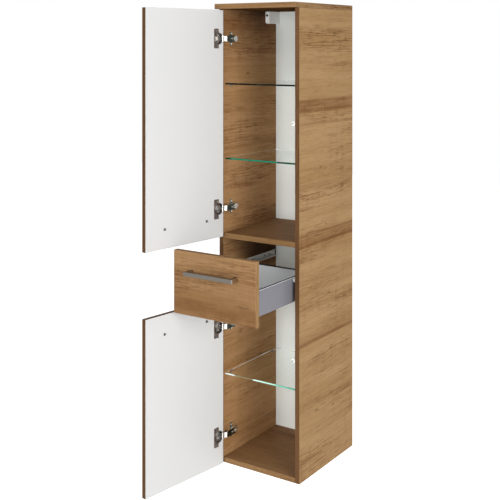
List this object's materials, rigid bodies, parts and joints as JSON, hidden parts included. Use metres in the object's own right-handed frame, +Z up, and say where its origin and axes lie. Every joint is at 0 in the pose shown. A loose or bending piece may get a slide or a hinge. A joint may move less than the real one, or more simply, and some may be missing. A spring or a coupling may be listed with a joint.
{
  "type": "bathroom tall cabinet",
  "caption": "Tall narrow wall-hung bathroom cabinet with cup-hinged doors above and below a drawer on roller runners, and glass shelves inside.",
  "frame": {"origin": "middle of the cabinet's width, on the wall plane, level with the underside of the bottom board", "axes": "+Z up, +Y towards the wall, -Y out of the front, +X to the right of someone facing the front"},
  "size_m": [0.3606, 0.6058, 1.42],
  "materials": {
    "oak_board": "melamine board with a rustic oak grain, matt",
    "white_sheet": "white coated board, satin",
    "grey_board": "grey coated board, satin",
    "beech_dowel": "plain beech",
    "shelf_glass": "clear float glass with polished green edges",
    "clear_plastic": "clear moulded plastic",
    "white_plastic": "white moulded plastic, satin",
    "white_nylon": "white nylon, smooth",
    "zinc_steel": "bright zinc plated sheet",
    "hinge_plate_steel": "nickel plated sheet, satin",
    "nickel_steel": "polished nickel plate",
    "screw_steel": "bright zinc plated",
    "grey_paint": "metallic grey powder coat",
    "handle_metal": "satin grey"
  },
  "bodies": {
    "carcass": {"side_left": "oak_board", "side_right": "oak_board", "top_board": "oak_board", "bottom_board": "oak_board", "fixed_shelf": "oak_board", "back_sheet": "white_sheet", "carcass_dowels": "beech_dowel", "glass_shelf_top": "shelf_glass", "glass_shelf_middle": "shelf_glass", "glass_shelf_lower": "shelf_glass", "shelf_pins": "clear_plastic", "hanger_body_left": "zinc_steel", "hanger_body_right": "zinc_steel", "hanger_hook_left": "zinc_steel", "hanger_hook_right": "zinc_steel", "hanger_cover_left": "white_plastic", "hanger_cover_right": "white_plastic", "hanger_screws": "screw_steel", "hinge_plate_1": "hinge_plate_steel", "hinge_plate_2": "hinge_plate_steel", "hinge_plate_3": "hinge_plate_steel", "hinge_plate_4": "hinge_plate_steel", "hinge_arm_1": "nickel_steel", "hinge_arm_2": "nickel_steel", "hinge_arm_3": "nickel_steel", "hinge_arm_4": "nickel_steel", "hinge_screws": "screw_steel", "rail_left": "zinc_steel", "rail_right": "zinc_steel", "fixing_screws": "screw_steel", "damper_body_upper": "white_plastic", "damper_body_lower": "white_plastic"},
    "upper_door": {"upper_door": "oak_board", "upper_handle": "handle_metal", "upper_door_screws": "screw_steel", "hinge_cup_1": "hinge_plate_steel", "hinge_cup_2": "hinge_plate_steel", "hinge_pins_upper": "screw_steel"},
    "lower_door": {"lower_door": "oak_board", "lower_handle": "handle_metal", "lower_door_screws": "screw_steel", "hinge_cup_3": "hinge_plate_steel", "hinge_cup_4": "hinge_plate_steel", "hinge_pins_lower": "screw_steel"},
    "drawer": {"drawer_front": "oak_board", "drawer_side_left": "grey_paint", "drawer_side_right": "grey_paint", "drawer_base": "white_sheet", "drawer_back": "grey_board", "drawer_handle": "handle_metal", "front_brackets": "zinc_steel", "drawer_screws": "screw_steel"},
    "rail_roller_left": {"rail_roller_left": "white_nylon"},
    "rail_roller_right": {"rail_roller_right": "white_nylon"},
    "side_roller_left": {"side_roller_left": "white_nylon"},
    "side_roller_right": {"side_roller_right": "white_nylon"},
    "damper_plunger_upper": {"damper_plunger_upper": "white_nylon"},
    "damper_plunger_lower": {"damper_plunger_lower": "white_nylon"}
  },
  "joints": [
    {"name": "upper_door_hinge", "type": "hinge", "parent": "carcass", "child": "upper_door", "pos_m": [-0.1402, -0.3195, 1.051], "axis": [0, 0, 1], "range_deg": [0, 99]},
    {"name": "lower_door_hinge", "type": "hinge", "parent": "carcass", "child": "lower_door", "pos_m": [-0.1402, -0.3195, 0.2555], "axis": [0, 0, 1], "range_deg": [0, 99]},
    {"name": "drawer_slide", "type": "slide", "parent": "carcass", "child": "drawer", "axis": [0, 1, 0], "range_m": [-0.008, 0.192]},
    {"name": "rail_roller_left_turn", "type": "hinge", "parent": "carcass", "child": "rail_roller_left", "pos_m": [-0.1272, -0.294, 0.598], "axis": [1, 0, 0], "range_deg": [-1330, 60]},
    {"name": "side_roller_left_turn", "type": "hinge", "parent": "drawer", "child": "side_roller_left", "pos_m": [-0.1272, -0.243, 0.598], "axis": [1, 0, 0], "range_deg": [-1330, 60]},
    {"name": "rail_roller_right_turn", "type": "hinge", "parent": "carcass", "child": "rail_roller_right", "pos_m": [0.1272, -0.294, 0.598], "axis": [1, 0, 0], "range_deg": [-1330, 60]},
    {"name": "side_roller_right_turn", "type": "hinge", "parent": "drawer", "child": "side_roller_right", "pos_m": [0.1272, -0.243, 0.598], "axis": [1, 0, 0], "range_deg": [-1330, 60]},
    {"name": "damper_plunger_upper_press", "type": "slide", "parent": "carcass", "child": "damper_plunger_upper", "axis": [0, 1, 0], "range_m": [0, 0.005]},
    {"name": "damper_plunger_lower_press", "type": "slide", "parent": "carcass", "child": "damper_plunger_lower", "axis": [0, 1, 0], "range_m": [0, 0.005]}
  ],
  "couplings": [
    {"joint": "rail_roller_left_turn", "follows": "drawer_slide", "rad_per_m": -120.48},
    {"joint": "side_roller_left_turn", "follows": "drawer_slide", "rad_per_m": -120.48},
    {"joint": "rail_roller_right_turn", "follows": "drawer_slide", "rad_per_m": -120.48},
    {"joint": "side_roller_right_turn", "follows": "drawer_slide", "rad_per_m": -120.48},
    {"joint": "damper_plunger_upper_press", "follows": "upper_door_hinge", "m_per_rad": 0.00289},
    {"joint": "damper_plunger_lower_press", "follows": "lower_door_hinge", "m_per_rad": 0.00289}
  ]
}
